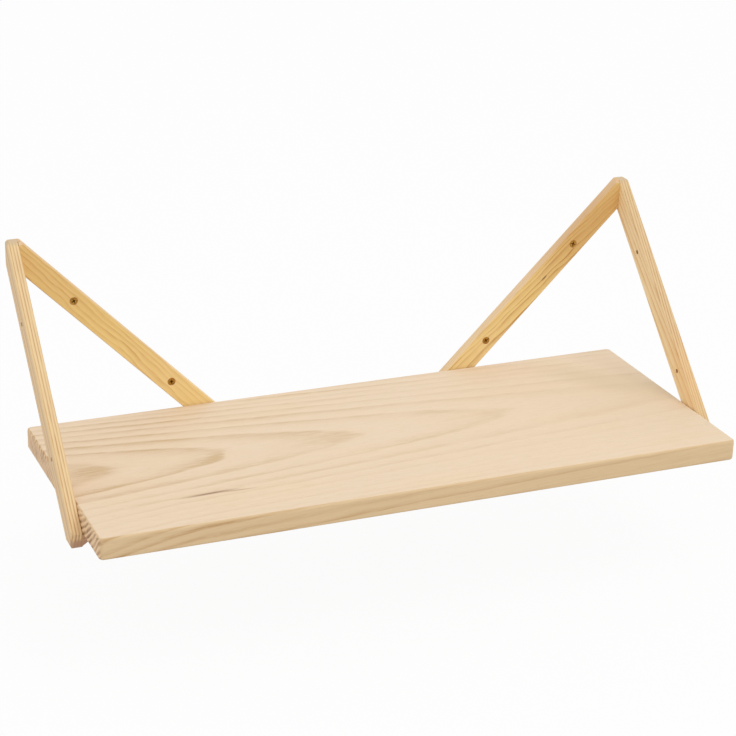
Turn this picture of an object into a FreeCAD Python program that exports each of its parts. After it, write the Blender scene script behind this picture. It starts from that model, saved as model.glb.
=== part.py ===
import FreeCAD, Part
import math
import os

# Wooden wall shelf: a pine board carried by two brackets of thin battens.
# Each bracket is a front batten on the board's end and a wall batten behind the board's
# back edge. Both rise at the same slope and meet above the board's back corner.
# Millimetres. +X runs along the shelf to the right, +Y points into the wall and +Z is up.
# The origin lies on the wall, midway between the two upper wall screws.

Vector = FreeCAD.Vector

# Board
board_length = 600.0
board_depth = 244.0
board_thickness = 20.0
board_edge_round = 2.5
board_corner_round = 4.5

# Batten stock
batten_width = 22.0
batten_thickness = 10.0
batten_edge_round = 1.0
batten_slope = 45.0

# Brackets: the rise is taken from the board's top face, the drop from its underside
bracket_rise = 177.0
front_tip_share = 0.7
wall_tip_flat = 2.5
tip_round = 5.0
crown_round = 3.5
foot_drop = 12.5
foot_flat = 16.5
foot_corner_round = 4.0
foot_edge_round = 2.5

# Ledges: glued blocks under the board, beside the feet of the front battens
ledge_reach = 10.0
ledge_end = 3.0

# Screw holes over the board's top face, drilled alike in all four battens
upper_hole_rise = 116.0
lower_hole_rise = 25.5
hole_radius = 2.1

# Wall screws
screw_length = 20.0
thread_radius = 2.0
shank_radius = 1.45
head_radius = 3.8
head_sink = 0.15
head_seat_clearance = 0.05
tip_length = 2.5

# Dowels
dowel_radius = 3.0
dowel_pitch = 14.0
dowel_in_board = 20.0
dowel_in_batten = 6.0
top_dowel_radius = 2.5
top_dowel_in_wall_batten = 11.0
top_dowel_edge_wall = 2.0
dowel_clearance = 0.05
dowel_end_gap = 0.5

# Largest share of a wall that the rounding of one of its edges may take
round_share = 0.45

# Planes that the pieces share
half_length = board_length / 2
board_top = -upper_hole_rise
board_middle = board_top - board_thickness / 2
board_underside = board_top - board_thickness
board_back = -batten_thickness
board_front = board_back - board_depth
bracket_top = board_top + bracket_rise
foot_bottom = board_underside - foot_drop
upper_hole_z = board_top + upper_hole_rise
lower_hole_z = board_top + lower_hole_rise

# Slope of the battens, and what their width measures along a plumb line
slope_angle = math.radians(batten_slope)
fall = math.tan(slope_angle)
plumb_height = batten_width / math.cos(slope_angle)

# Level tip of a front batten, and how the roundings of the tips follow from the slope
front_tip_flat = front_tip_share * batten_thickness
tip_bend = math.tan((math.pi - slope_angle) / 2)

SIDES = {"left": -1.0, "right": 1.0}


def edge_round_limit(radius, wall):
    """Rounding that a wall of this thickness can take on both of its edges."""
    return min(radius, round_share * wall)


def upper_edge_z(run, tip_flat):
    """Height of a batten's upper edge at a level distance from its top cut."""
    return bracket_top - (run - tip_flat) * fall


def centre_run(z, tip_flat):
    """Level distance from the top cut to the batten's centreline at height z."""
    return tip_flat + (bracket_top - plumb_height / 2 - z) / fall


def heel_run(tip_flat):
    """Level distance from the top cut to where the batten's lower edge meets its foot cut."""
    return tip_flat + (bracket_top - plumb_height - foot_bottom) / fall


def nose_run(tip_flat):
    """Level distance from the top cut to the plumb cut at the batten's foot."""
    return heel_run(tip_flat) + foot_flat


def rounded_outline(points, radii):
    """Closed wire through the points, each corner rounded by its radius (0 leaves it sharp)."""
    count = len(points)
    starts = []
    middles = []
    ends = []
    for index, corner in enumerate(points):
        radius = radii[index]
        before = (points[index - 1] - corner).normalize()
        after = (points[(index + 1) % count] - corner).normalize()
        half_angle = before.getAngle(after) / 2
        setback = radius / math.tan(half_angle)
        inwards = (before + after).normalize()
        starts.append(corner + before * setback)
        middles.append(corner + inwards * (radius / math.sin(half_angle) - radius))
        ends.append(corner + after * setback)
    edges = []
    for index, radius in enumerate(radii):
        if radius > 0:
            edges.append(Part.Arc(starts[index], middles[index], ends[index]).toShape())
        edges.append(Part.LineSegment(ends[index], starts[(index + 1) % count]).toShape())
    return Part.Wire(edges)


def planed_stock(length):
    """Straight strip along X about the origin, back face on Y = 0, with its long edges eased."""
    stock = Part.makeBox(length, batten_thickness, batten_width)
    stock.translate(Vector(-length / 2, -batten_thickness, -batten_width / 2))
    long_edges = [edge for edge in stock.Edges if edge.BoundBox.XLength > length / 2]
    return stock.makeFillet(edge_round_limit(batten_edge_round, batten_thickness), long_edges)


def crowned_top():
    """Top of a front batten across its thickness, rounded on the outer face."""
    crown = edge_round_limit(crown_round, batten_thickness)
    return [(0.0, bracket_top, crown), (batten_thickness, bracket_top, 0.0)]


def flush_top():
    """Top of a wall batten across its thickness, sanded flush with the front batten's upper edge."""
    overhang = batten_thickness - front_tip_flat
    bend_round = edge_round_limit(tip_round, min(overhang, front_tip_flat) * tip_bend)
    return [
        (0.0, bracket_top, 0.0),
        (front_tip_flat, bracket_top, bend_round),
        (batten_thickness, bracket_top - overhang * fall, 0.0),
    ]


def profile_across(tip_flat, top):
    """Envelope of a batten across its thickness, which also rounds the long edges of its foot.

    The top runs from the back face to the front one, as depth, height and rounding.
    """
    foot = edge_round_limit(foot_edge_round, batten_thickness)
    corners = [(0.0, foot_bottom, foot), *top, (batten_thickness, foot_bottom, foot)]
    points = [Vector(0, -depth, z) for depth, z, radius in corners]
    radii = [radius for depth, z, radius in corners]
    return Part.Face(rounded_outline(points, radii)).extrude(Vector(nose_run(tip_flat), 0, 0))


def profile_from_above():
    """Envelope of a front batten in plan, which rounds the plumb outer edge of its nose."""
    nose = nose_run(front_tip_flat)
    points = [
        Vector(0, 0, foot_bottom),
        Vector(nose, 0, foot_bottom),
        Vector(nose, -batten_thickness, foot_bottom),
        Vector(0, -batten_thickness, foot_bottom),
    ]
    radii = [0.0, edge_round_limit(foot_edge_round, batten_thickness), 0.0, 0.0]
    outline = rounded_outline(points, radii)
    return Part.Face(outline).extrude(Vector(0, 0, bracket_top - foot_bottom))


def batten(tip_flat, top):
    """Batten with its run along +X, its back face on Y = 0 and its front face on Y = -thickness.

    A length of planed stock is laid at the slope and cut off plumb at its top, level at
    its tip, and level and plumb at its foot. The edges of the cuts are then sanded round.
    """
    heel = heel_run(tip_flat)
    nose = nose_run(tip_flat)
    points = [
        Vector(0, 0, upper_edge_z(0, tip_flat) - plumb_height),
        Vector(0, 0, bracket_top),
        Vector(tip_flat, 0, bracket_top),
        Vector(nose, 0, upper_edge_z(nose, tip_flat)),
        Vector(nose, 0, foot_bottom),
        Vector(heel, 0, foot_bottom),
    ]
    bend_round = edge_round_limit(tip_round, tip_flat * tip_bend)
    foot_round = edge_round_limit(foot_corner_round, foot_flat)
    radii = [0.0, 0.0, bend_round, foot_round, foot_round, foot_round]
    outline = Part.Face(rounded_outline(points, radii))
    cuts = outline.extrude(Vector(0, -batten_thickness, 0))

    middle_z = (bracket_top + foot_bottom) / 2
    stock = planed_stock(2 * (nose + plumb_height) / math.cos(slope_angle))
    stock.rotate(Vector(0, 0, 0), Vector(0, 1, 0), batten_slope)
    stock.translate(Vector(centre_run(middle_z, tip_flat), 0, middle_z))
    sawn = stock.common(cuts)
    return sawn.common(profile_across(tip_flat, top))


def cylinder(radius, start, end):
    """Round bar between two points."""
    axis = end - start
    return Part.makeCylinder(radius, axis.Length, start, axis)


def dowel_hole(radius, start, end):
    """Hole for a dowel: wider by the clearance and deeper by the gap at each end."""
    along = (end - start).normalize() * dowel_end_gap
    return cylinder(radius + dowel_clearance, start - along, end + along)


def screw_outline():
    """Half outline of a wall screw: radius and distance below the top of its head."""
    cone_end = head_radius - shank_radius
    thread_start = batten_thickness - head_sink
    return [
        (0.0, 0.0),
        (head_radius, 0.0),
        (shank_radius, cone_end),
        (shank_radius, thread_start),
        (thread_radius, thread_start),
        (thread_radius, screw_length - tip_length),
        (0.0, screw_length),
    ]


def revolved(outline, x, head_y, z):
    """Body of revolution about a line along +Y, from radius and distance pairs."""
    points = [Vector(x + radius, head_y + depth, z) for radius, depth in outline]
    face = Part.Face(Part.makePolygon(points + points[:1]))
    return face.revolve(Vector(x, head_y, z), Vector(0, 1, 0), 360)


def wall_screw(x, z):
    """Countersunk screw driven through a wall batten from its front face."""
    return revolved(screw_outline(), x, board_back + head_sink, z)


def countersink(x, z):
    """Seat that the screw's head presses into the front face of a wall batten."""
    mouth = head_radius + head_sink + head_seat_clearance * math.sqrt(2)
    return revolved([(0.0, 0.0), (mouth, 0.0), (0.0, mouth)], x, board_back, z)


def drilled(piece, holes):
    """The piece with each hole cut out of it."""
    for hole in holes:
        piece = piece.cut(hole)
    return piece


def board_end_dowels(side):
    """Start and end points of the dowels that hold a front batten, by place."""
    run = centre_run(board_middle, front_tip_flat)
    lines = {}
    for place, offset in (("outer", dowel_pitch / 2), ("inner", -dowel_pitch / 2)):
        y = -run - offset
        start = Vector(side * (half_length + dowel_in_batten), y, board_middle)
        end = Vector(side * (half_length - dowel_in_board), y, board_middle)
        lines[place] = (start, end)
    return lines


def board_back_dowels(side):
    """Start and end points of the dowels that hold a wall batten, by place."""
    run = centre_run(board_middle, wall_tip_flat)
    lines = {}
    for place, offset in (("outer", -dowel_pitch / 2), ("inner", dowel_pitch / 2)):
        x = side * (half_length - run - offset)
        start = Vector(x, board_back + dowel_in_batten, board_middle)
        end = Vector(x, board_back - dowel_in_board, board_middle)
        lines[place] = (start, end)
    return lines


def top_dowel_line(side):
    """Start and end points of the dowel that joins the two battens of a bracket at its top."""
    inner_end = top_dowel_in_wall_batten + dowel_end_gap
    cover = top_dowel_radius + dowel_clearance + top_dowel_edge_wall
    z = upper_edge_z(inner_end, wall_tip_flat) - cover / math.cos(slope_angle)
    y = board_back / 2
    start = Vector(side * (half_length + dowel_in_batten), y, z)
    end = Vector(side * (half_length - top_dowel_in_wall_batten), y, z)
    return start, end


def screw_places(side):
    """Where the wall screws of one side stand: X and Z by place."""
    places = {}
    for place, z in (("upper", upper_hole_z), ("lower", lower_hole_z)):
        places[place] = (side * (half_length - centre_run(z, wall_tip_flat)), z)
    return places


def front_batten(side):
    """Batten on the board's end, with two open holes and the seats of its dowels."""
    piece = batten(front_tip_flat, crowned_top()).common(profile_from_above())
    piece.rotate(Vector(0, 0, 0), Vector(0, 0, 1), -90)
    piece.translate(Vector(half_length + batten_thickness, 0, 0))
    if side < 0:
        piece = piece.mirror(Vector(0, 0, 0), Vector(1, 0, 0))
    holes = []
    for z in (upper_hole_z, lower_hole_z):
        y = -centre_run(z, front_tip_flat)
        inner = Vector(side * half_length, y, z)
        outer = Vector(side * (half_length + batten_thickness), y, z)
        holes.append(cylinder(hole_radius, inner, outer))
    for start, end in board_end_dowels(side).values():
        holes.append(dowel_hole(dowel_radius, start, end))
    holes.append(dowel_hole(top_dowel_radius, *top_dowel_line(side)))
    return drilled(piece, holes)


def wall_batten(side):
    """Batten that lies on the wall, with two screw holes and the seats of its dowels."""
    piece = batten(wall_tip_flat, flush_top())
    piece.translate(Vector(-half_length, 0, 0))
    if side > 0:
        piece = piece.mirror(Vector(0, 0, 0), Vector(1, 0, 0))
    holes = []
    for x, z in screw_places(side).values():
        holes.append(cylinder(hole_radius, Vector(x, board_back, z), Vector(x, 0, z)))
        holes.append(countersink(x, z))
    for start, end in board_back_dowels(side).values():
        holes.append(dowel_hole(dowel_radius, start, end))
    holes.append(dowel_hole(top_dowel_radius, *top_dowel_line(side)))
    return drilled(piece, holes)


def front_ledge(side):
    """Block under the board, beside the foot of a front batten and thinner towards its inner end."""
    inner_end = half_length - ledge_reach
    heel_y = -heel_run(front_tip_flat)
    points = [
        Vector(half_length, heel_y, board_underside),
        Vector(half_length, heel_y, foot_bottom + edge_round_limit(foot_edge_round, batten_thickness)),
        Vector(inner_end, heel_y, board_underside - ledge_end),
        Vector(inner_end, heel_y, board_underside),
    ]
    block = Part.Face(Part.makePolygon(points + points[:1])).extrude(Vector(0, -foot_flat, 0))
    if side < 0:
        block = block.mirror(Vector(0, 0, 0), Vector(1, 0, 0))
    return block


def shelf_board():
    """Board with all its edges rounded, drilled for the dowels of both brackets."""
    corner = Vector(-half_length, board_front, board_underside)
    blank = Part.makeBox(board_length, board_depth, board_thickness, corner)
    plumb_edges = [edge for edge in blank.Edges if edge.BoundBox.ZLength > board_thickness / 2]
    blank = blank.makeFillet(edge_round_limit(board_corner_round, board_depth), plumb_edges)
    rims = [edge for edge in blank.Edges if edge.BoundBox.ZLength < board_thickness / 2]
    board = blank.makeFillet(edge_round_limit(board_edge_round, board_thickness), rims)
    holes = []
    for side in SIDES.values():
        for start, end in board_end_dowels(side).values():
            holes.append(dowel_hole(dowel_radius, start, end))
        for start, end in board_back_dowels(side).values():
            holes.append(dowel_hole(dowel_radius, start, end))
    return drilled(board, holes)


def pieces():
    """Every piece of the shelf by its name."""
    parts = {"shelf_board": shelf_board()}
    for name, side in SIDES.items():
        parts[f"{name}_front_batten"] = front_batten(side)
        parts[f"{name}_front_ledge"] = front_ledge(side)
        parts[f"{name}_wall_batten"] = wall_batten(side)
        for place, (x, z) in screw_places(side).items():
            parts[f"{name}_{place}_wall_screw"] = wall_screw(x, z)
        for place, (start, end) in board_end_dowels(side).items():
            parts[f"{name}_front_{place}_dowel"] = cylinder(dowel_radius, start, end)
        for place, (start, end) in board_back_dowels(side).items():
            parts[f"{name}_wall_{place}_dowel"] = cylinder(dowel_radius, start, end)
        parts[f"{name}_top_dowel"] = cylinder(top_dowel_radius, *top_dowel_line(side))
    return parts


os.makedirs("parts", exist_ok=True)
for node, shape in pieces().items():
    shape.exportStep(f"parts/{node}.step")
    box = shape.optimalBoundingBox()
    extent = f"{box.XLength:.1f} x {box.YLength:.1f} x {box.ZLength:.1f} mm"
    print(f"{node}: {len(shape.Solids)} solid, {shape.Volume:.0f} mm3, {extent}")
for side_name, side_sign in SIDES.items():
    for place_name, (screw_x, screw_z) in screw_places(side_sign).items():
        print(f"{side_name} {place_name} screw at x {screw_x:.3f}, z {screw_z:.3f}")
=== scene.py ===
import logging
import math
from collections.abc import Callable
from dataclasses import dataclass, replace
from enum import Enum

import bmesh
import bpy
from mathutils import Euler, Matrix, Vector


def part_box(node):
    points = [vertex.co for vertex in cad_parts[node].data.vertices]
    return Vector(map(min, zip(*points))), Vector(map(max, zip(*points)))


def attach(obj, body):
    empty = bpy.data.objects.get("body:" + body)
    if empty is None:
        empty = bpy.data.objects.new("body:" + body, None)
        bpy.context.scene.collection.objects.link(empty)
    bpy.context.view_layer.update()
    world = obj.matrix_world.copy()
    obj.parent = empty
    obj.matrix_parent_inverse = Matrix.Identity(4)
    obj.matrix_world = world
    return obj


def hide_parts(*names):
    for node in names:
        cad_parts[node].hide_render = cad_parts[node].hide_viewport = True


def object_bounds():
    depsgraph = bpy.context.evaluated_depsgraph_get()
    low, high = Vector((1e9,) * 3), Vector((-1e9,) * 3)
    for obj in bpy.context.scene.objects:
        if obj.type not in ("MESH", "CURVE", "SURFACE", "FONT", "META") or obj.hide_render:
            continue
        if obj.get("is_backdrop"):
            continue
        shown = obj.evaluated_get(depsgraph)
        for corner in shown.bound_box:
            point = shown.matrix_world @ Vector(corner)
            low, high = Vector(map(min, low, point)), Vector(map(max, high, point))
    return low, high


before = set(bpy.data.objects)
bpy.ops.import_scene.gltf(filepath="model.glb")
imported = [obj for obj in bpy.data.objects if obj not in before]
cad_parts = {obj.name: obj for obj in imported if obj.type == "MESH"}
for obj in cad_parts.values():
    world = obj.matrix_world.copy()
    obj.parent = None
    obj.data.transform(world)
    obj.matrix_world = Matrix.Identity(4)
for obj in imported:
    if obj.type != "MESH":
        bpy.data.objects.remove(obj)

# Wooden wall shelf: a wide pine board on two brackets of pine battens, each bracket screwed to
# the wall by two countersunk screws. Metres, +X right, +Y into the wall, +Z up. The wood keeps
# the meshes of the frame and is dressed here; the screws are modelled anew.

LOG = logging.getLogger("wall_shelf")
MM = 0.001
ROOT_BODY = "root"
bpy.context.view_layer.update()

Triple = tuple[float, float, float]
Colour = tuple[float, float, float, float]
Socket = bpy.types.NodeSocket
Feed = Socket | float | Triple | Colour

ORIGIN: Triple = (0.0, 0.0, 0.0)
UNTURNED: Triple = (0.0, 0.0, 0.0)
MILLIMETRES: Triple = (MM, MM, MM)
WHITE: Colour = (1.0, 1.0, 1.0, 1.0)

FULL_LEVEL = 255
DARK_LEVEL = 0.04045
DARK_SLOPE = 12.92
TONE_OFFSET = 0.055
TONE_POWER = 2.4


def tone(red: int, green: int, blue: int) -> Colour:
    """Turn an 8-bit screen colour into the linear colour that shaders use.

    Args:
        red: Red from 0 to 255.
        green: Green from 0 to 255.
        blue: Blue from 0 to 255.

    Returns:
        Linear red, green and blue, and full opacity.
    """
    def linear(level: int) -> float:
        """Linear value of one channel."""
        share = level / FULL_LEVEL
        if share <= DARK_LEVEL:
            return share / DARK_SLOPE
        return ((share + TONE_OFFSET) / (1.0 + TONE_OFFSET)) ** TONE_POWER

    return linear(red), linear(green), linear(blue), 1.0


def in_metres(lengths_mm: Triple) -> Triple:
    """Turn three lengths from millimetres into metres."""
    return tuple(MM * length for length in lengths_mm)


class Side(Enum):
    """The two ends of the shelf."""

    LEFT = "left"
    RIGHT = "right"


class ScrewPlace(Enum):
    """The two wall screws of a bracket."""

    UPPER = "upper"
    LOWER = "lower"


class Slot(Enum):
    """Material slots of the record."""

    BOARD = "board_pine"
    FRONT_BATTEN = "front_batten_pine"
    WALL_BATTEN = "wall_batten_pine"
    SCREW = "screw_yellow_zinc"
    DOWEL = "dowel_beech"


class Graph:
    """Shader graph of a material or of the world, put together node by node."""

    MIX_FIRST = 6
    MIX_SECOND = 7
    MIX_RESULT = 2

    def __init__(self, owner: bpy.types.Material | bpy.types.World) -> None:
        """Start an empty graph.

        Args:
            owner: Material or world that the graph belongs to.
        """
        self.owner = owner
        self.owner.use_nodes = True
        self.tree = owner.node_tree
        self.tree.nodes.clear()

    def feed(self, socket: Socket, value: Feed) -> None:
        """Link a socket to another, or set its own value.

        Args:
            socket: Input that is fed.
            value: Output to link, or a plain value.
        """
        if isinstance(value, bpy.types.NodeSocket):
            self.tree.links.new(value, socket)
        else:
            socket.default_value = value

    def node(
        self,
        kind: str,
        inputs: dict[str | int, Feed] | None = None,
        **settings: object,
    ) -> bpy.types.Node:
        """Add a node.

        Args:
            kind: Node type without its ShaderNode prefix.
            inputs: Feeds by input name or number.
            settings: Node properties.

        Returns:
            The new node.
        """
        made = self.tree.nodes.new(f"ShaderNode{kind}")
        for key, value in settings.items():
            setattr(made, key, value)
        for key, value in (inputs or {}).items():
            self.feed(made.inputs[key], value)
        return made

    def math(self, operation: str, *feeds: Feed, clamp: bool = False) -> Socket:
        """Add a Math node and give its result."""
        made = self.node("Math", dict(enumerate(feeds)), operation=operation, use_clamp=clamp)
        return made.outputs["Value"]

    def vector(self, operation: str, *feeds: Feed) -> Socket:
        """Add a Vector Math node and give its vector."""
        return self.node("VectorMath", dict(enumerate(feeds)), operation=operation).outputs["Vector"]

    def number(self, operation: str, *feeds: Feed) -> Socket:
        """Add a Vector Math node and give its number."""
        return self.node("VectorMath", dict(enumerate(feeds)), operation=operation).outputs["Value"]

    def span(
        self,
        value: Feed,
        low: float,
        high: float,
        to_low: float = 0.0,
        to_high: float = 1.0,
    ) -> Socket:
        """Map one range of numbers smoothly to another.

        Args:
            value: Number to map.
            low: Start of its range.
            high: End of its range.
            to_low: Result at the start.
            to_high: Result at the end.

        Returns:
            The mapped number.
        """
        inputs = {"Value": value, "From Min": low, "From Max": high, "To Min": to_low, "To Max": to_high}
        return self.node("MapRange", inputs, interpolation_type="SMOOTHSTEP").outputs["Result"]

    def mix(self, share: Feed, first: Feed, second: Feed) -> Socket:
        """Mix two colours.

        Args:
            share: How much of the second colour shows.
            first: First colour.
            second: Second colour.

        Returns:
            The mixed colour.
        """
        made = self.node("Mix", {"Factor": share}, data_type="RGBA")
        self.feed(made.inputs[self.MIX_FIRST], first)
        self.feed(made.inputs[self.MIX_SECOND], second)
        return made.outputs[self.MIX_RESULT]

    def noise(self, place: Feed, layers: float, rough: float) -> bpy.types.Node:
        """Add a noise texture with cells of unit size.

        Args:
            place: Where it is read.
            layers: Number of finer layers.
            rough: How much the finer layers count.

        Returns:
            The noise node.
        """
        inputs = {"Vector": place, "Scale": 1.0, "Detail": layers, "Roughness": rough}
        return self.node("TexNoise", inputs)

    def ramp(self, value: Feed, stops: dict[float, float]) -> Socket:
        """Turn a number into a grey level along a ramp.

        Args:
            value: Number from 0 to 1.
            stops: Level by position.

        Returns:
            The level.
        """
        made = self.node("ValToRGB", {"Fac": value})
        elements = made.color_ramp.elements
        elements.remove(elements[1])
        for index, (position, level) in enumerate(sorted(stops.items())):
            element = elements[0] if index == 0 else elements.new(position)
            element.position = position
            element.color = (level, level, level, 1.0)
        return made.outputs["Color"]

    def placed(self, location: Triple, turn_deg: Triple, units: Triple) -> Socket:
        """Read the object's coordinates in a frame of their own.

        Args:
            location: Origin of that frame, in metres.
            turn_deg: Its turn about X, Y and Z.
            units: Its unit lengths, in metres.

        Returns:
            Coordinates in that frame.
        """
        place = self.node("TexCoord").outputs["Object"]
        angles = tuple(math.radians(angle) for angle in turn_deg)
        inputs = {"Vector": place, "Location": location, "Rotation": angles, "Scale": units}
        return self.node("Mapping", inputs, vector_type="TEXTURE").outputs["Vector"]

    def bump(self, height: Socket, strength: float, depth_mm: float) -> Socket:
        """Add a fine relief and give its normal."""
        inputs = {"Height": height, "Strength": strength, "Distance": depth_mm * MM}
        return self.node("Bump", inputs).outputs["Normal"]

    def finish(self, inputs: dict[str | int, Feed]) -> bpy.types.Material:
        """Close a material's graph with its surface.

        Args:
            inputs: Feeds of the surface by name.

        Returns:
            The finished material.
        """
        surface = self.node("BsdfPrincipled", inputs).outputs["BSDF"]
        self.node("OutputMaterial", {"Surface": surface})
        return self.owner


@dataclass(frozen=True)
class DrawnNoise:
    """Noise with its own number of cells in a millimetre, and the two values it is read between."""

    per_mm: Triple
    layers: float
    rough: float
    low: float
    high: float

    def read(self, graph: Graph, place: Socket) -> Socket:
        """Read the noise at a place in millimetres."""
        drawn = graph.vector("MULTIPLY", place, self.per_mm)
        return graph.noise(drawn, self.layers, self.rough).outputs["Fac"]

    def level(self, graph: Graph, value: Socket, weak: float = 0.0, strong: float = 1.0) -> Socket:
        """Turn the noise into a level between a weak and a strong one."""
        return graph.span(value, self.low, self.high, weak, strong)


@dataclass(frozen=True)
class StreakOrPaintedLight:
    """A streak or stain in a face, or a patch of painted shade or painted light, soft at its edges and
    tapered to both ends.
    """

    centre_mm: Triple
    turn_deg: Triple
    reach_mm: Triple
    colour: Colour
    strength: float
    edge: float

    def paint(self, graph: Graph, wood: Socket) -> Socket:
        """Lay the streak, stain or painted light over the wood's colour.

        Args:
            graph: Graph of the wood.
            wood: Colour so far.

        Returns:
            Colour with the streak.
        """
        inside = graph.placed(in_metres(self.centre_mm), self.turn_deg, in_metres(self.reach_mm))
        ball = graph.node("TexGradient", {"Vector": inside}, gradient_type="SPHERICAL").outputs["Fac"]
        return graph.mix(graph.span(ball, 0.0, self.edge, 0.0, self.strength), wood, self.colour)


@dataclass(frozen=True)
class Swirl:
    """Place where the rings bend round a knot that was sawn away."""

    centre_mm: Triple
    reach_mm: Triple
    pull_mm: float

    def bend(self, graph: Graph, radius: Socket) -> Socket:
        """Shift the rings near the knot.

        Args:
            graph: Graph of the wood.
            radius: Distance from the pith line so far.

        Returns:
            The shifted distance.
        """
        inside = graph.placed(in_metres(self.centre_mm), UNTURNED, in_metres(self.reach_mm))
        gradient = graph.node("TexGradient", {"Vector": inside}, gradient_type="QUADRATIC_SPHERE")
        return graph.math("MULTIPLY_ADD", gradient.outputs["Fac"], self.pull_mm, radius)


# Darkness by the part of the year that has passed: on a face along the grain it grows through the
# summer and ends soon, and on a sawn end the late wood shows broad and soft.
LATE_WOOD = {0.0: 0.14, 0.1: 0.0, 0.42: 0.1, 0.68: 0.45, 0.85: 0.95, 0.92: 0.8, 1.0: 0.14}
END_WOOD = {0.0: 0.7, 0.12: 0.15, 0.3: 0.0, 0.5: 0.3, 0.7: 0.85, 0.86: 1.0, 1.0: 0.7}


@dataclass(frozen=True)
class Pine:
    """Pine with its growth rings about a pith line, its fibres, resin canals and end grain.

    The pith line is the X axis of the frame that pith_mm and grain_deg place. The rings are
    cylinders about it, so every face of a piece shows the figure that its cut through the log gives.
    """

    name: str
    pith_mm: Triple
    grain_deg: Triple
    ring_mm: float
    ring_at_mm: float
    broad_normal: Triple
    early: Colour
    late: Colour
    broad_early: Colour
    broad_late: Colour
    end_early: Colour = tone(226, 192, 150)
    end_late: Colour = tone(150, 108, 76)
    blush: Colour = tone(236, 196, 160)
    blush_share: float = 0.22
    fibre_share: float = 0.22
    canal_share: float = 0.22
    seed_mm: float = 0.0
    bow_per_mm: float = 0.0
    wander_mm: float = 0.5
    wander_reach_mm: Triple = (140.0, 45.0, 45.0)
    wander_layers: float = 2.0
    wander_rough: float = 0.45
    ripple_mm: float = 0.3
    ripple_reach_mm: Triple = (45.0, 9.0, 9.0)
    ripple_layers: float = 1.0
    ripple_rough: float = 0.5
    unevenness: float = 0.25
    lean_per_year: float = 0.7
    year_spread: float = 0.75
    year_seed: float = 0.0
    darkest_year: float = 1.15
    faded: float = 0.45
    clear: float = 1.1
    broken: float = 0.55
    whole: float = 1.15
    end_ratio: float = 1.0
    end_shift_mm: Triple = (0.0, 0.0, 0.0)
    end_from: float = 0.5
    end_full: float = 0.95
    broad_from: float = 0.86
    broad_full: float = 0.995
    figure: float = 0.75
    edge_figure: float = 1.0
    side_figure: float = 1.0
    side_from_mm: float = -100.0
    side_full_mm: float = -25.0
    near_figure: float = 1.0
    far_figure: float = 1.0
    near_mm: float = -120.0
    far_mm: float = 360.0
    late_relief: float = 0.6
    fibre_relief: float = 0.5
    relief_strength: float = 0.35
    relief_mm: float = 0.25
    early_rough: float = 0.62
    late_rough: float = 0.5
    gloss: float = 0.3
    fades: DrawnNoise = DrawnNoise((0.009, 0.06, 0.06), 2.0, 0.5, 0.3, 0.65)
    breaks: DrawnNoise = DrawnNoise((0.05, 0.8, 0.8), 3.0, 0.6, 0.36, 0.58)
    fibres: DrawnNoise = DrawnNoise((0.03, 1.1, 1.1), 4.0, 0.6, 0.3, 0.75)
    canals: DrawnNoise = DrawnNoise((0.11, 2.2, 2.2), 1.0, 0.5, 0.62, 0.74)
    patches: DrawnNoise = DrawnNoise((0.008, 0.03, 0.03), 2.0, 0.5, 0.45, 0.75)
    swirls: tuple[Swirl, ...] = ()
    streaks_and_painted_light: tuple[StreakOrPaintedLight, ...] = ()

    @property
    def along(self) -> Triple:
        """Direction of the grain."""
        angles = [math.radians(angle) for angle in self.grain_deg]
        return tuple(Euler(angles).to_matrix() @ Vector((1.0, 0.0, 0.0)))

    @staticmethod
    def sway(
        graph: Graph,
        place: Socket,
        size_mm: float,
        reach_mm: Triple,
        layers: float,
        rough: float,
    ) -> Socket:
        """Shift across the grain that changes from place to place.

        Args:
            graph: Graph of the wood.
            place: Coordinates about the pith line.
            size_mm: Largest shift to either side.
            reach_mm: Lengths over which it changes.
            layers: Number of finer layers in it.
            rough: How much the finer layers count.

        Returns:
            The shift in millimetres.
        """
        swing = graph.noise(graph.vector("DIVIDE", place, reach_mm), layers, rough).outputs["Color"]
        wide = 2.0 * size_mm
        return graph.vector("MULTIPLY_ADD", swing, (0.0, wide, wide), (0.0, -size_mm, -size_mm))

    def bent(self, graph: Graph) -> Socket:
        """Coordinates about the pith line in millimetres, with the log's wander.

        Args:
            graph: Graph of the wood.

        Returns:
            Coordinates that the rings follow.
        """
        straight = graph.placed(in_metres(self.pith_mm), self.grain_deg, MILLIMETRES)
        seeded = graph.vector("ADD", straight, (self.seed_mm, self.seed_mm, self.seed_mm))
        wander = self.sway(
            graph, seeded, self.wander_mm, self.wander_reach_mm, self.wander_layers, self.wander_rough
        )
        ripple = self.sway(
            graph, seeded, self.ripple_mm, self.ripple_reach_mm, self.ripple_layers, self.ripple_rough
        )
        return graph.vector("ADD", straight, graph.vector("ADD", wander, ripple))

    def growth(self, graph: Graph, radius: Socket) -> Socket:
        """Turn a distance from the pith line into an age, with years of uneven width.

        Args:
            graph: Graph of the wood.
            radius: Distance from the pith line in millimetres.

        Returns:
            Age in years.
        """
        years = graph.math("DIVIDE", graph.math("SUBTRACT", radius, self.ring_at_mm), self.ring_mm)
        inputs = {"W": graph.math("ADD", years, self.seed_mm), "Scale": self.lean_per_year}
        lean_years = graph.node("TexNoise", inputs, noise_dimensions="1D").outputs["Fac"]
        uneven = graph.math("MULTIPLY_ADD", lean_years, 2.0 * self.unevenness, -self.unevenness)
        return graph.math("ADD", years, uneven)

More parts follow.
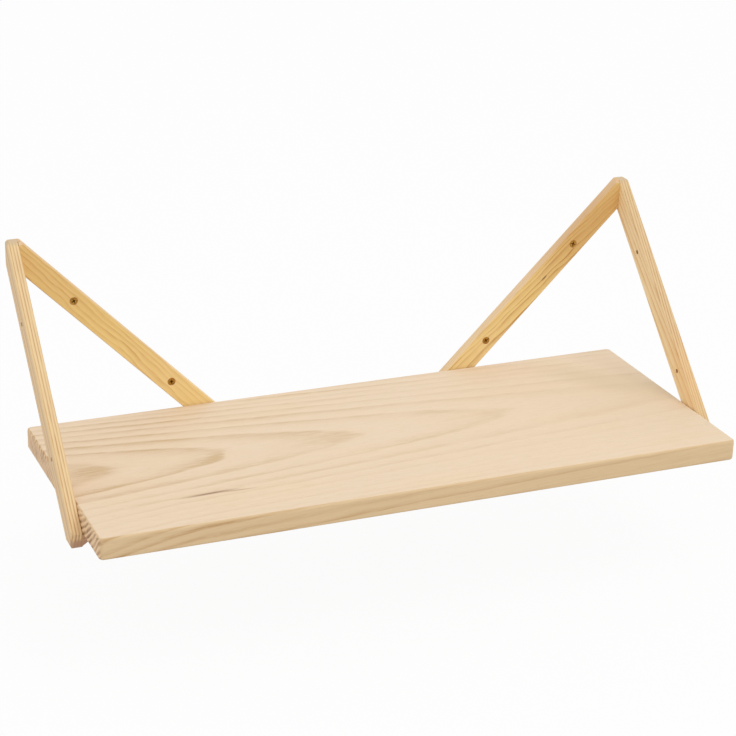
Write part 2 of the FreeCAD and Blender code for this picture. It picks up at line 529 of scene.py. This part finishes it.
    def strength(self, graph: Graph, place: Socket, growth: Socket) -> tuple[Socket, Socket]:
        """How strongly the rings show from place to place.

        Args:
            graph: Graph of the wood.
            place: Coordinates about the pith line.
            growth: Age in years.

        Returns:
            Strength along the grain, and the plain fading that the ends share.
        """
        parts = graph.node("SeparateXYZ", {"Vector": place}).outputs
        number = graph.math("ADD", graph.math("FLOOR", growth), self.year_seed)
        year = graph.node("TexWhiteNoise", {"W": number}, noise_dimensions="1D").outputs["Value"]
        weakest = self.darkest_year - self.year_spread
        dry_year = graph.math("MULTIPLY_ADD", year, self.year_spread, weakest)
        fade = self.fades.level(graph, self.fades.read(graph, place), self.faded, self.clear)
        breaks = self.breaks.level(graph, self.breaks.read(graph, place), self.broken, self.whole)
        side = graph.span(parts["Y"], self.side_from_mm, self.side_full_mm, self.side_figure, 1.0)
        length = graph.span(parts["X"], self.near_mm, self.far_mm, self.near_figure, self.far_figure)
        shown = graph.math("MULTIPLY", dry_year, fade)
        for share in (side, length, breaks):
            shown = graph.math("MULTIPLY", shown, share)
        return shown, fade

    def rings(self, graph: Graph, place: Socket) -> tuple[Socket, Socket]:
        """Strength of the dark late wood.

        Args:
            graph: Graph of the wood.
            place: Coordinates about the pith line.

        Returns:
            Late wood along the grain and on the ends, from 0 to 1.
        """
        parts = graph.node("SeparateXYZ", {"Vector": place}).outputs
        bow = graph.math("MULTIPLY", graph.math("POWER", parts["X"], 2.0), self.bow_per_mm)
        height = graph.math("ADD", parts["Z"], bow)
        across = graph.node("CombineXYZ", {"Y": parts["Y"], "Z": height}).outputs["Vector"]
        radius = graph.number("LENGTH", across)
        for swirl in self.swirls:
            radius = swirl.bend(graph, radius)
        growth = self.growth(graph, radius)
        late = graph.ramp(graph.math("FRACT", growth), LATE_WOOD)
        sawn = graph.number("LENGTH", graph.vector("ADD", across, self.end_shift_mm))
        sawn_growth = self.growth(graph, graph.math("MULTIPLY", sawn, self.end_ratio))
        ends = graph.ramp(graph.math("FRACT", sawn_growth), END_WOOD)
        shown, fade = self.strength(graph, place, growth)
        late = graph.math("MULTIPLY", late, shown, clamp=True)
        return late, graph.math("MULTIPLY", ends, fade, clamp=True)

    def material(self) -> bpy.types.Material:
        """Build the material.

        Returns:
            The wood's material.
        """
        graph = Graph(bpy.data.materials.new(self.name))
        place = self.bent(graph)
        late, late_ends = self.rings(graph, place)
        normal = graph.node("NewGeometry").outputs["Normal"]
        facing_end = graph.math("ABSOLUTE", graph.number("DOT_PRODUCT", normal, self.along))
        facing_broad = graph.math("ABSOLUTE", graph.number("DOT_PRODUCT", normal, self.broad_normal))
        end_share = graph.span(facing_end, self.end_from, self.end_full)
        broad_share = graph.span(facing_broad, self.broad_from, self.broad_full)

        patches = self.patches.read(graph, place)
        early = graph.mix(broad_share, self.early, self.broad_early)
        early = graph.mix(self.patches.level(graph, patches, 0.0, self.blush_share), early, self.blush)
        dark = graph.mix(broad_share, self.late, self.broad_late)
        figure = graph.span(broad_share, 0.0, 1.0, self.figure * self.edge_figure, self.figure)
        face = graph.mix(graph.math("MULTIPLY", late, figure, clamp=True), early, dark)
        ends = graph.mix(late_ends, self.end_early, self.end_late)
        wood = graph.mix(end_share, face, ends)

        fibres = self.fibres.read(graph, place)
        canals = self.canals.read(graph, place)
        wood = graph.mix(self.fibres.level(graph, fibres, 0.0, self.fibre_share), wood, dark)
        wood = graph.mix(self.canals.level(graph, canals, 0.0, self.canal_share), wood, self.late)
        for mark in self.streaks_and_painted_light:
            wood = mark.paint(graph, wood)

        raised_fibres = graph.math("MULTIPLY", fibres, self.fibre_relief)
        relief = graph.math("MULTIPLY_ADD", late, self.late_relief, raised_fibres)
        return graph.finish({
            "Base Color": wood,
            "Roughness": graph.span(late, 0.0, 1.0, self.early_rough, self.late_rough),
            "Specular IOR Level": self.gloss,
            "Normal": graph.bump(relief, self.relief_strength, self.relief_mm),
        })


@dataclass(frozen=True)
class YellowZinc:
    """Yellow-passivated zinc on the screws, with painted shade darkening the recess of the head."""

    name: str = "screw_yellow_zinc"
    gold: Colour = tone(200, 148, 68)
    olive: Colour = tone(146, 108, 50)
    # Painted shade: dark brown laid into the cross recess of the head, darker with depth.
    recess_shade: Colour = tone(88, 57, 24)
    recess_shade_start_mm: float = -9.7
    recess_shade_end_mm: float = -8.6
    wall_face_mm: float = 0.0
    film: DrawnNoise = DrawnNoise((0.6, 0.6, 0.6), 3.0, 0.5, 0.35, 0.65)
    scuffs: DrawnNoise = DrawnNoise((5.0, 5.0, 5.0), 2.0, 0.5, 0.3, 0.7)
    scuff_strength: float = 0.15
    scuff_mm: float = 0.05
    metallic: float = 0.9
    bright_rough: float = 0.3
    dull_rough: float = 0.5

    def material(self) -> bpy.types.Material:
        """Build the material.

        Returns:
            The plating's material.
        """
        graph = Graph(bpy.data.materials.new(self.name))
        place = graph.placed(ORIGIN, UNTURNED, MILLIMETRES)
        film = self.film.read(graph, place)
        scuffs = self.scuffs.read(graph, place)
        plating = graph.mix(self.film.level(graph, film), self.gold, self.olive)
        # Painted shade darkens the recess below the head's face, but not the shank behind the wall face.
        depth = graph.node("SeparateXYZ", {"Vector": place}).outputs["Y"]
        sunk = graph.span(depth, self.recess_shade_start_mm, self.recess_shade_end_mm)
        behind = graph.math("GREATER_THAN", depth, self.wall_face_mm)
        recess_shading = graph.math("SUBTRACT", sunk, behind, clamp=True)
        return graph.finish({
            "Base Color": graph.mix(recess_shading, plating, self.recess_shade),
            "Metallic": self.metallic,
            "Roughness": self.scuffs.level(graph, scuffs, self.bright_rough, self.dull_rough),
            "Normal": graph.bump(scuffs, self.scuff_strength, self.scuff_mm),
        })


@dataclass(frozen=True)
class Beech:
    """Plain beech of the dowels, with its short dark flecks."""

    name: str = "dowel_beech"
    pale: Colour = tone(222, 186, 148)
    fleck: Colour = tone(176, 128, 92)
    flecks: DrawnNoise = DrawnNoise((1.6, 1.6, 1.6), 3.0, 0.6, 0.5, 0.72)
    fleck_strength: float = 0.2
    fleck_mm: float = 0.1
    pale_rough: float = 0.7
    fleck_rough: float = 0.55

    def material(self) -> bpy.types.Material:
        """Build the material.

        Returns:
            The dowels' material.
        """
        graph = Graph(bpy.data.materials.new(self.name))
        place = graph.placed(ORIGIN, UNTURNED, MILLIMETRES)
        flecks = self.flecks.read(graph, place)
        return graph.finish({
            "Base Color": graph.mix(self.flecks.level(graph, flecks), self.pale, self.fleck),
            "Roughness": graph.span(flecks, 0.0, 1.0, self.pale_rough, self.fleck_rough),
            "Normal": graph.bump(flecks, self.fleck_strength, self.fleck_mm),
        })


class Bench:
    """Handwork on one piece."""

    def __init__(self, piece: bpy.types.Object) -> None:
        """Take a piece to the bench.

        Args:
            piece: Mesh object to work on.
        """
        self.piece = piece

    @staticmethod
    def clear() -> None:
        """Select nothing."""
        bpy.ops.object.select_all(action="DESELECT")

    def take(self) -> None:
        """Select this piece alone and make it active."""
        Bench.clear()
        self.piece.select_set(True)
        bpy.context.view_layer.objects.active = self.piece

    def edit(self, work: Callable[[], None]) -> None:
        """Work on the piece in edit mode.

        Args:
            work: What is done there.
        """
        self.take()
        bpy.ops.object.mode_set(mode="EDIT")
        work()
        bpy.ops.object.mode_set(mode="OBJECT")

    def pick_faces(self, wanted: Callable[[bmesh.types.BMFace], bool]) -> None:
        """Select in edit mode the faces that pass a test, and no others.

        Args:
            wanted: Test of a face.
        """
        bpy.ops.mesh.select_mode(type="FACE")
        bpy.ops.mesh.select_all(action="DESELECT")
        mesh = bmesh.from_edit_mesh(self.piece.data)
        for face in mesh.faces:
            face.select_set(wanted(face))
        bmesh.update_edit_mesh(self.piece.data)

    @staticmethod
    def face_outwards() -> None:
        """Turn all faces outwards in edit mode."""
        bpy.ops.mesh.select_all(action="SELECT")
        bpy.ops.mesh.normals_make_consistent(inside=False)

    def settle(self) -> None:
        """Put the piece's place, turn and size into its mesh."""
        self.take()
        bpy.ops.object.transform_apply(location=True, rotation=True, scale=True)

    def combine(self, other: bpy.types.Object, operation: str) -> None:
        """Join another solid to this one or cut it out, and throw the other away.

        Args:
            other: Second solid.
            operation: UNION or DIFFERENCE.
        """
        self.take()
        modifier = self.piece.modifiers.new("combine", "BOOLEAN")
        modifier.operation = operation
        modifier.solver = "EXACT"
        modifier.object = other
        bpy.ops.object.modifier_apply(modifier=modifier.name)
        bpy.data.objects.remove(other, do_unlink=True)

    def smooth(self, angle_deg: float) -> None:
        """Shade the piece smooth, but not over edges sharper than an angle."""
        self.take()
        bpy.ops.object.shade_smooth_by_angle(angle=math.radians(angle_deg))


@dataclass
class WallScrew:
    """Countersunk chipboard screw with a cross recess and a coarse thread.

    It is modelled along +Z from the top of its head at the origin, then copied to each place.
    """

    head_radius_mm: float
    length_mm: float
    thread_start_mm: float
    shank_radius_mm: float = 1.45
    shank_runout_mm: float = 0.6
    core_radius_mm: float = 1.25
    crest_radius_mm: float = 2.0
    rim_mm: float = 0.2
    tip_length_mm: float = 3.4
    tip_radius_mm: float = 0.15
    pitch_mm: float = 1.8
    thread_half_width_mm: float = 0.5
    thread_sink_mm: float = 0.2
    recess_reach_mm: float = 2.2
    recess_width_mm: float = 0.95
    recess_depth_mm: float = 2.0
    recess_clear_mm: float = 0.5
    recess_taper: float = 0.45
    recess_turns_deg: tuple[float, float] = (45.0, 135.0)
    smooth_deg: float = 32.0
    sides: int = 48
    end_facing: float = 0.99
    slack_mm: float = 0.0001

    def body(self) -> bpy.types.Object:
        """Turn the head, shank, core and tip.

        Returns:
            Closed solid of revolution.
        """
        cone_end = self.head_radius_mm - self.shank_radius_mm
        stations = (
            (self.rim_mm, self.head_radius_mm),
            (cone_end, self.shank_radius_mm),
            (self.thread_start_mm - self.shank_runout_mm, self.shank_radius_mm),
            (self.thread_start_mm, self.core_radius_mm),
            (self.length_mm - self.tip_length_mm, self.core_radius_mm),
            (self.length_mm, self.tip_radius_mm),
        )
        Bench.clear()
        start = self.head_radius_mm - self.rim_mm
        bpy.ops.mesh.primitive_circle_add(vertices=self.sides, radius=start * MM, fill_type="NGON")
        bench = Bench(bpy.context.object)

        def pick_end(depth: float) -> None:
            """Select the disc at a depth."""
            level = (depth - self.slack_mm) * MM
            bench.pick_faces(
                lambda face: face.calc_center_median().z > level and abs(face.normal.z) > self.end_facing
            )

        def turn() -> None:
            """Draw the disc out station by station."""
            depth, radius = 0.0, start
            for next_depth, next_radius in stations:
                pick_end(depth)
                step = (0.0, 0.0, (next_depth - depth) * MM)
                bpy.ops.mesh.extrude_region_move(TRANSFORM_OT_translate={"value": step})
                share = next_radius / radius
                bpy.ops.transform.resize(value=(share, share, 1.0))
                depth, radius = next_depth, next_radius
            Bench.face_outwards()

        bench.edit(turn)
        return bench.piece

    def thread(self) -> bpy.types.Object:
        """Wind the thread's ridge.

        Returns:
            Closed helical ridge that overlaps the core.
        """
        root = self.core_radius_mm - self.thread_sink_mm
        start = self.thread_start_mm + self.thread_half_width_mm
        end = self.length_mm - self.tip_length_mm - self.thread_half_width_mm
        turns = (end - start) / self.pitch_mm
        corners = (
            (root, 0.0, start - self.thread_half_width_mm),
            (self.crest_radius_mm, 0.0, start),
            (root, 0.0, start + self.thread_half_width_mm),
        )
        Bench.clear()
        bpy.ops.mesh.primitive_circle_add(vertices=len(corners), radius=MM, fill_type="NOTHING")
        bench = Bench(bpy.context.object)
        for vertex, corner in zip(bench.piece.data.vertices, corners):
            vertex.co = Vector(corner) * MM
        bench.take()
        winding = bench.piece.modifiers.new("wind", "SCREW")
        winding.axis = "Z"
        winding.angle = 2.0 * math.pi * turns
        winding.screw_offset = turns * self.pitch_mm * MM
        winding.steps = winding.render_steps = round(turns * self.sides)
        winding.use_merge_vertices = False
        bpy.ops.object.modifier_apply(modifier=winding.name)

        def close() -> None:
            """Cap both ends and face the ridge outwards."""
            bpy.ops.mesh.select_all(action="SELECT")
            bpy.ops.mesh.fill_holes(sides=len(corners))
            Bench.face_outwards()

        bench.edit(close)
        return bench.piece

    def recess_blade(self, turn_deg: float) -> bpy.types.Object:
        """Cutter for one bar of the cross recess.

        Args:
            turn_deg: Turn about the screw's axis.

        Returns:
            Block that narrows towards its lower end.
        """
        Bench.clear()
        bpy.ops.mesh.primitive_cube_add(size=1.0)
        bench = Bench(bpy.context.object)
        height = self.recess_depth_mm + self.recess_clear_mm
        middle = height / 2.0 - self.recess_clear_mm
        bench.piece.scale = Vector((2.0 * self.recess_reach_mm, self.recess_width_mm, height)) * MM
        bench.piece.location = (0.0, 0.0, middle * MM)
        bench.piece.rotation_euler = (0.0, 0.0, math.radians(turn_deg))
        bench.settle()

        def narrow() -> None:
            """Taper the end that goes into the head."""
            bench.pick_faces(lambda face: face.normal.z > self.end_facing)
            bpy.ops.transform.resize(value=(self.recess_taper, self.recess_taper, 1.0))

        bench.edit(narrow)
        return bench.piece

    def build(self) -> bpy.types.Object:
        """Make the pattern screw.

        Returns:
            The finished solid, with its head at the origin and its axis along +Z.
        """
        bench = Bench(self.body())
        bench.combine(self.thread(), "UNION")
        for turn_deg in self.recess_turns_deg:
            bench.combine(self.recess_blade(turn_deg), "DIFFERENCE")
        bench.smooth(self.smooth_deg)
        return bench.piece

    @staticmethod
    def drive(pattern: bpy.types.Object, name: str, place: Vector, turn_deg: float) -> bpy.types.Object:
        """Copy the pattern screw into a batten.

        Args:
            pattern: The pattern screw.
            name: Name of the new piece.
            place: Top of its head.
            turn_deg: How far it is turned when it is tight.

        Returns:
            The new piece, placed in its mesh.
        """
        piece = pattern.copy()
        piece.data = pattern.data.copy()
        piece.name = piece.data.name = name
        bpy.context.collection.objects.link(piece)
        into_wall = Matrix.Rotation(-math.pi / 2.0, 4, "X")
        tight = Matrix.Rotation(math.radians(turn_deg), 4, "Z")
        piece.matrix_world = Matrix.Translation(place) @ into_wall @ tight
        Bench(piece).settle()
        return piece


def dress(node: str, slot: Slot, finish: bpy.types.Material) -> None:
    """Give a piece of the frame its finish.

    Args:
        node: Name of the piece.
        slot: Slot that the record gives it.
        finish: Material of its finish.
    """
    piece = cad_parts[node]
    for index in range(len(piece.data.materials)):
        piece.data.materials[index] = finish
    LOG.info("%s, slot %s, dressed in %s", node, slot.value, finish.name)


UP: Triple = (0.0, 0.0, 1.0)
SIDEWAYS: Triple = (1.0, 0.0, 0.0)
INTO_WALL: Triple = (0.0, 1.0, 0.0)

BOARD_PINE = Pine(
    name="board_pine",
    pith_mm=(-143.0, -125.0, 4.0),
    grain_deg=(0.0, -3.0, 0.0),
    ring_mm=6.4,
    ring_at_mm=120.0,
    broad_normal=UP,
    early=tone(226, 198, 156),
    late=tone(196, 156, 108),
    broad_early=tone(235, 213, 186),
    broad_late=tone(207, 177, 135),
    end_early=tone(246, 212, 170),
    end_late=tone(150, 110, 76),
    blush=tone(238, 208, 170),
    bow_per_mm=2.9e-5,
    ripple_mm=0.75,
    unevenness=0.35,
    year_seed=7.0,
    end_ratio=1.28,
    end_shift_mm=(0.0, 24.0, 24.0),
    figure=0.95,
    edge_figure=3.0,
    side_figure=0.3,
    near_figure=1.25,
    near_mm=-170.0,
    far_figure=0.38,
    swirls=(Swirl(centre_mm=(-300.0, -254.0, -126.0), reach_mm=(100.0, 80.0, 60.0), pull_mm=-11.0),),
    streaks_and_painted_light=(
        StreakOrPaintedLight(
            centre_mm=(-187.5, -200.7, -116.0),
            turn_deg=(0.0, 0.0, 3.5),
            reach_mm=(36.0, 2.8, 3.0),
            colour=tone(140, 104, 74),
            strength=0.8,
            edge=0.9,
        ),
        StreakOrPaintedLight(
            centre_mm=(-164.0, -202.2, -116.0),
            turn_deg=(0.0, 0.0, -2.0),
            reach_mm=(24.0, 1.8, 3.0),
            colour=tone(172, 136, 98),
            strength=0.6,
            edge=0.9,
        ),
        # Painted shadow of the right front batten: an olive band across the top that tapers towards the
        # batten's foot.
        StreakOrPaintedLight(
            centre_mm=(252.0, -84.0, -116.0),
            turn_deg=(0.0, 0.0, -49.0),
            reach_mm=(100.0, 34.0, 30.0),
            colour=tone(206, 188, 146),
            strength=0.36,
            edge=0.9,
        ),
        # Painted shade: a darker tone over the right part of the top, set against the brighter light of
        # the key lamp there.
        StreakOrPaintedLight(
            centre_mm=(300.0, -150.0, -116.0),
            turn_deg=UNTURNED,
            reach_mm=(170.0, 150.0, 5.0),
            colour=tone(206, 186, 148),
            strength=0.16,
            edge=0.8,
        ),
    ),
)

LEFT_FRONT_PINE = Pine(
    name="left_front_batten_pine",
    pith_mm=(-362.0, -120.0, -40.0),
    grain_deg=(0.0, -45.0, 90.0),
    ring_mm=2.7,
    ring_at_mm=55.0,
    broad_normal=SIDEWAYS,
    early=tone(240, 213, 163),
    late=tone(198, 146, 96),
    broad_early=tone(239, 208, 164),
    broad_late=tone(206, 166, 120),
    seed_mm=31.0,
    wander_mm=0.4,
    unevenness=0.15,
    year_spread=0.3,
    faded=0.7,
    figure=1.0,
    streaks_and_painted_light=(
        StreakOrPaintedLight(
            centre_mm=(-304.0, -203.0, -147.0),
            turn_deg=UNTURNED,
            reach_mm=(18.0, 9.0, 9.0),
            colour=tone(178, 136, 108),
            strength=0.85,
            edge=0.5,
        ),
        StreakOrPaintedLight(
            centre_mm=(-305.0, -4.0, 62.0),
            turn_deg=UNTURNED,
            reach_mm=(14.0, 12.0, 6.0),
            colour=tone(208, 184, 150),
            strength=0.8,
            edge=0.6,
        ),
    ),
)

RIGHT_FRONT_PINE = Pine(
    name="right_front_batten_pine",
    pith_mm=(358.0, -92.0, -68.0),
    grain_deg=(0.0, -41.5, 90.0),
    ring_mm=2.3,
    ring_at_mm=55.0,
    broad_normal=SIDEWAYS,
    early=tone(230, 204, 155),
    late=tone(190, 140, 90),
    # The broad faces are paler than the left front batten's: partly the wood's own tone, partly painted
    # light for the light that the board's top throws onto the inner face.
    broad_early=tone(254, 232, 187),
    broad_late=tone(230, 186, 127),
    seed_mm=83.0,
    wander_mm=1.2,
    unevenness=0.2,
    year_spread=0.4,
    faded=0.6,
    figure=1.0,
    streaks_and_painted_light=(
        StreakOrPaintedLight(
            centre_mm=(305.0, -156.0, -96.0),
            turn_deg=(0.0, -45.0, 90.0),
            reach_mm=(75.0, 20.0, 15.0),
            colour=tone(246, 194, 126),
            strength=0.3,
            edge=0.8,
        ),
        StreakOrPaintedLight(
            centre_mm=(305.0, -4.0, 62.0),
            turn_deg=UNTURNED,
            reach_mm=(14.0, 12.0, 6.0),
            colour=tone(208, 184, 150),
            strength=0.8,
            edge=0.6,
        ),
    ),
)

# The ledge under the board is toned darker than the battens: partly its own pinkish wood, partly painted
# shade from the board above it.
LEDGE_PINE = Pine(
    name="front_ledge_pine",
    pith_mm=(0.0, -190.0, -110.0),
    grain_deg=(0.0, 0.0, 0.0),
    ring_mm=2.2,
    ring_at_mm=30.0,
    broad_normal=INTO_WALL,
    early=tone(206, 166, 132),
    late=tone(168, 126, 94),
    broad_early=tone(190, 148, 118),
    broad_late=tone(160, 118, 90),
)

LEFT_WALL_PINE = Pine(
    name="left_wall_batten_pine",
    pith_mm=(-223.7, 35.0, -63.7),
    grain_deg=(0.0, 45.5, 1.0),
    ring_mm=2.3,
    ring_at_mm=30.0,
    broad_normal=INTO_WALL,
    early=tone(236, 208, 168),
    late=tone(216, 170, 120),
    broad_early=tone(247, 216, 144),
    broad_late=tone(206, 155, 84),
    seed_mm=57.0,
    wander_mm=2.0,
    wander_reach_mm=(60.0, 30.0, 30.0),
    ripple_mm=0.8,
    ripple_reach_mm=(28.0, 12.0, 12.0),
    unevenness=0.4,
    figure=0.9,
    streaks_and_painted_light=(
        # Painted shade: darker towards the apex.
        StreakOrPaintedLight(
            centre_mm=(-275.0, -10.0, 22.0),
            turn_deg=(0.0, 45.0, 0.0),
            reach_mm=(110.0, 30.0, 40.0),
            colour=tone(206, 152, 82),
            strength=0.22,
            edge=0.9,
        ),
        # Painted light: lighter towards the board, for the light that the board's top throws back.
        StreakOrPaintedLight(
            centre_mm=(-140.0, -10.0, -112.0),
            turn_deg=(0.0, 45.0, 0.0),
            reach_mm=(100.0, 30.0, 40.0),
            colour=tone(255, 226, 160),
            strength=0.4,
            edge=0.9,
        ),
    ),
)

RIGHT_WALL_PINE = replace(
    LEFT_WALL_PINE,
    name="right_wall_batten_pine",
    pith_mm=(223.7, 35.0, -63.7),
    grain_deg=(0.0, 139.0, 0.0),
    ring_mm=2.5,
    broad_late=tone(190, 136, 68),
    seed_mm=119.0,
    figure=1.0,
    streaks_and_painted_light=(
        # Painted shade: darker towards the apex.
        StreakOrPaintedLight(
            centre_mm=(275.0, -10.0, 22.0),
            turn_deg=(0.0, -45.0, 0.0),
            reach_mm=(110.0, 30.0, 40.0),
            colour=tone(196, 140, 76),
            strength=0.5,
            edge=0.9,
        ),
        # Painted light: lighter towards the board, for the light that the board's top throws back.
        StreakOrPaintedLight(
            centre_mm=(140.0, -10.0, -112.0),
            turn_deg=(0.0, -45.0, 0.0),
            reach_mm=(100.0, 30.0, 40.0),
            colour=tone(250, 226, 176),
            strength=0.25,
            edge=0.9,
        ),
        StreakOrPaintedLight(
            centre_mm=(222.0, -10.0, -32.0),
            turn_deg=(0.0, -45.0, 0.0),
            reach_mm=(5.0, 3.0, 1.2),
            colour=tone(128, 92, 62),
            strength=0.85,
            edge=0.6,
        ),
    ),
)


@dataclass
class ShelfBoard:
    """The wide board: flat-sawn pine with its flame figure pointing to the right."""

    finish: Pine = BOARD_PINE

    def build(self) -> None:
        """Dress the board."""
        dress("shelf_board", Slot.BOARD, self.finish.material())


@dataclass
class Bracket:
    """One bracket: front batten with its ledge, wall batten and the two screws in it."""

    side: Side
    front: Pine
    wall: Pine
    screw_turns_deg: dict[ScrewPlace, float]

    def build(
        self,
        ledge: bpy.types.Material,
        screw: bpy.types.Object,
        plating: bpy.types.Material,
    ) -> None:
        """Dress the battens and drive the screws.

        Args:
            ledge: Finish of the ledge.
            screw: Pattern screw.
            plating: Finish of the screws.
        """
        dress(f"{self.side.value}_front_batten", Slot.FRONT_BATTEN, self.front.material())
        dress(f"{self.side.value}_front_ledge", Slot.FRONT_BATTEN, ledge)
        dress(f"{self.side.value}_wall_batten", Slot.WALL_BATTEN, self.wall.material())
        for place, turn_deg in self.screw_turns_deg.items():
            node = f"{self.side.value}_{place.value}_wall_screw"
            low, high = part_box(node)
            head = Vector(((low.x + high.x) / 2.0, low.y, (low.z + high.z) / 2.0))
            piece = WallScrew.drive(screw, f"{node}_detail", head, turn_deg)
            piece.data.materials.clear()
            piece.data.materials.append(plating)
            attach(piece, ROOT_BODY)
            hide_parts(node)
            LOG.info("%s driven at x %.1f mm, z %.1f mm", piece.name, head.x / MM, head.z / MM)


@dataclass
class Dowels:
    """Hidden dowels of both brackets."""

    finish: Beech = Beech()

    def build(self) -> None:
        """Dress every dowel."""
        wood = self.finish.material()
        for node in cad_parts:
            if node.endswith("_dowel"):
                dress(node, Slot.DOWEL, wood)


@dataclass
class Studio:
    """Floor, light and camera."""

    floor_drop: float = 0.1
    floor_size: float = 40.0
    floor_shade: Colour = tone(228, 228, 228)
    shadow_share: float = 0.06
    ambient: float = 0.86
    key_place: Triple = (0.9, -1.3, 2.9)
    key_aim: Triple = (0.0, -0.13, -0.05)
    key_size: float = 1.8
    key_power: float = 24.0
    camera_place: Triple = (-0.70135, -1.76102, 0.66158)
    camera_yaw_deg: float = -22.841
    camera_pitch_deg: float = -21.919
    camera_roll_deg: float = 1.355
    camera_lens_mm: float = 103.764
    camera_sensor_mm: float = 36.0

    @staticmethod
    def seen_ray(graph: Graph) -> Socket:
        """Tell the rays that show a surface from those that light others.

        Args:
            graph: Graph of the material or the world.

        Returns:
            1 for camera, glossy and transmission rays, else 0.
        """
        path = graph.node("LightPath").outputs
        shiny = graph.math("MAXIMUM", path["Is Glossy Ray"], path["Is Transmission Ray"])
        return graph.math("MAXIMUM", path["Is Camera Ray"], shiny)

    def floor(self) -> None:
        """Lay the floor: white to the eye, with a soft shadow kept in it."""
        low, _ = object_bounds()
        level = low[2] - self.floor_drop
        Bench.clear()
        bpy.ops.mesh.primitive_plane_add(size=self.floor_size, location=(0.0, 0.0, level))
        floor = bpy.context.object
        floor.name = "floor"
        Bench(floor).settle()
        graph = Graph(bpy.data.materials.new("floor_white"))
        matt = graph.node("BsdfDiffuse", {"Color": self.floor_shade}).outputs["BSDF"]
        glow = graph.node("Emission", {"Color": WHITE, "Strength": 1.0}).outputs["Emission"]
        seen = graph.math("MULTIPLY", self.seen_ray(graph), 1.0 - self.shadow_share)
        blend = graph.node("MixShader", {0: seen, 1: matt, 2: glow}).outputs["Shader"]
        graph.node("OutputMaterial", {"Surface": blend})
        floor.data.materials.append(graph.owner)
        floor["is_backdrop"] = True

    def world(self) -> None:
        """Set a white surrounding that gives an even light."""
        graph = Graph(bpy.data.worlds.new("studio"))
        strength = graph.span(self.seen_ray(graph), 0.0, 1.0, self.ambient, 1.0)
        light = graph.node("Background", {"Color": WHITE, "Strength": strength}).outputs["Background"]
        graph.node("OutputWorld", {"Surface": light})
        bpy.context.scene.world = graph.owner

    def lamp(self) -> None:
        """Hang the large soft key lamp above the front."""
        data = bpy.data.lights.new("key", "AREA")
        data.shape = "DISK"
        data.size = self.key_size
        data.energy = self.key_power
        lamp = bpy.data.objects.new("key", data)
        lamp.location = self.key_place
        ray = Vector(self.key_aim) - lamp.location
        lamp.rotation_euler = ray.to_track_quat("-Z", "Y").to_euler()
        bpy.context.collection.objects.link(lamp)

    def camera(self) -> None:
        """Stand the camera where the shelf was seen from."""
        data = bpy.data.cameras.new("camera")
        data.sensor_width = self.camera_sensor_mm
        data.lens = self.camera_lens_mm
        camera = bpy.data.objects.new("camera", data)
        tilt = math.pi / 2.0 + math.radians(self.camera_pitch_deg)
        level = Euler((tilt, 0.0, math.radians(self.camera_yaw_deg))).to_matrix()
        roll = Matrix.Rotation(math.radians(self.camera_roll_deg), 3, "Z")
        camera.matrix_world = Matrix.Translation(self.camera_place) @ (level @ roll).to_4x4()
        bpy.context.collection.objects.link(camera)
        bpy.context.scene.camera = camera

    def build(self) -> None:
        """Set up the whole studio."""
        self.floor()
        self.world()
        self.lamp()
        self.camera()
        bpy.context.scene.view_settings.view_transform = "Standard"


BRACKETS = (
    Bracket(
        side=Side.LEFT,
        front=LEFT_FRONT_PINE,
        wall=LEFT_WALL_PINE,
        screw_turns_deg={ScrewPlace.UPPER: 12.0, ScrewPlace.LOWER: 38.0},
    ),
    Bracket(
        side=Side.RIGHT,
        front=RIGHT_FRONT_PINE,
        wall=RIGHT_WALL_PINE,
        screw_turns_deg={ScrewPlace.UPPER: 65.0, ScrewPlace.LOWER: 24.0},
    ),
)


def pattern_screw() -> bpy.types.Object:
    """Model one screw to the frame's sizes.

    Returns:
        The pattern that the four screws are copied from.
    """
    low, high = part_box("left_upper_wall_screw")
    screw = WallScrew(
        head_radius_mm=(high.x - low.x) / 2.0 / MM,
        length_mm=(high.y - low.y) / MM,
        thread_start_mm=-low.y / MM,
    )
    return screw.build()


def main() -> None:
    """Build the shelf's looks piece by piece, then the studio."""
    logging.basicConfig(level=logging.INFO, format="%(name)s: %(message)s")
    ShelfBoard().build()
    screw = pattern_screw()
    plating = YellowZinc().material()
    ledge = LEDGE_PINE.material()
    for bracket in BRACKETS:
        bracket.build(ledge, screw, plating)
    bpy.data.objects.remove(screw, do_unlink=True)
    Dowels().build()
    Studio().build()


if __name__ == "__main__":
    main()
